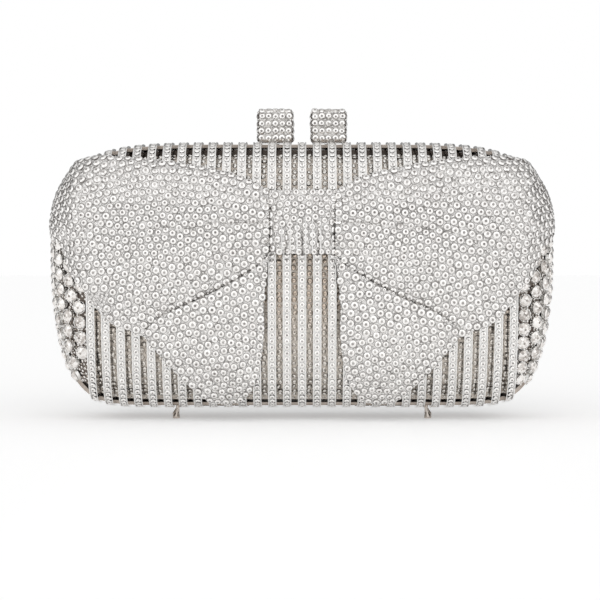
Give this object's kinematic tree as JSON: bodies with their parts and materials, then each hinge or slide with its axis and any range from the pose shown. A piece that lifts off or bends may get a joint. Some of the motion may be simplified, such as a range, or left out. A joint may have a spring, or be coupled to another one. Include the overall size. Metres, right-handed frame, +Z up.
{
  "type": "evening clutch bag",
  "caption": "Hard-shell evening clutch with ribbed crystal-set halves, a large bow on the front, a pinch clasp on top and small feet.",
  "frame": {"origin": "middle of the footprint on the surface that the clutch stands on", "axes": "+X to the viewer's right along the length, -Y out of the front with the bow, +Z up"},
  "size_m": [0.1966, 0.06, 0.1221],
  "materials": {
    "polished_silver": "polished silver-tone plating",
    "crystal_setting": "silver-tone setting filled with clear faceted stones",
    "rim_metal": "silver-tone plating that reflects the warm inside",
    "spring_steel": "plain steel",
    "lining_cloth": "grey satin lining on a thin stiff tray"
  },
  "bodies": {
    "back": {"back_cage": "polished_silver", "back_rim": "rim_metal", "back_pan": "crystal_setting", "back_lining": "lining_cloth", "back_gallery_left": "crystal_setting", "back_gallery_right": "crystal_setting", "back_foot_left": "polished_silver", "back_foot_right": "polished_silver", "back_hinge_leaf_left": "rim_metal", "back_hinge_leaf_right": "rim_metal", "hinge_pin_left": "spring_steel", "hinge_pin_right": "spring_steel", "clasp_block_left": "crystal_setting", "clasp_post": "rim_metal", "clasp_track": "spring_steel", "clasp_guide": "spring_steel", "clasp_spring": "spring_steel"},
    "front": {"front_cage": "polished_silver", "front_rim": "rim_metal", "front_pan": "crystal_setting", "front_lining": "lining_cloth", "front_gallery_left": "crystal_setting", "front_gallery_right": "crystal_setting", "front_foot_left": "polished_silver", "front_foot_right": "polished_silver", "front_hinge_leaf_left": "rim_metal", "front_hinge_leaf_right": "rim_metal", "bow_loop_left": "crystal_setting", "bow_loop_right": "crystal_setting", "bow_tail_left": "crystal_setting", "bow_tail_right": "crystal_setting", "bow_knot": "crystal_setting", "clasp_keeper": "spring_steel"},
    "moving_clasp": {"clasp_block_right": "crystal_setting", "clasp_slider": "spring_steel"}
  },
  "joints": [
    {"name": "front_hinge", "type": "hinge", "parent": "back", "child": "front", "pos_m": [0, 0.0031, 0.0054], "axis": [1, 0, 0], "range_deg": [0, 80], "deforming": ["clasp_keeper"]},
    {"name": "clasp_slide", "type": "slide", "parent": "back", "child": "moving_clasp", "axis": [-1, 0, 0], "range_m": [0, 0.004], "stiffness_N_per_m": 600, "springref_m": -0.004, "deforming": ["clasp_spring"]}
  ]
}
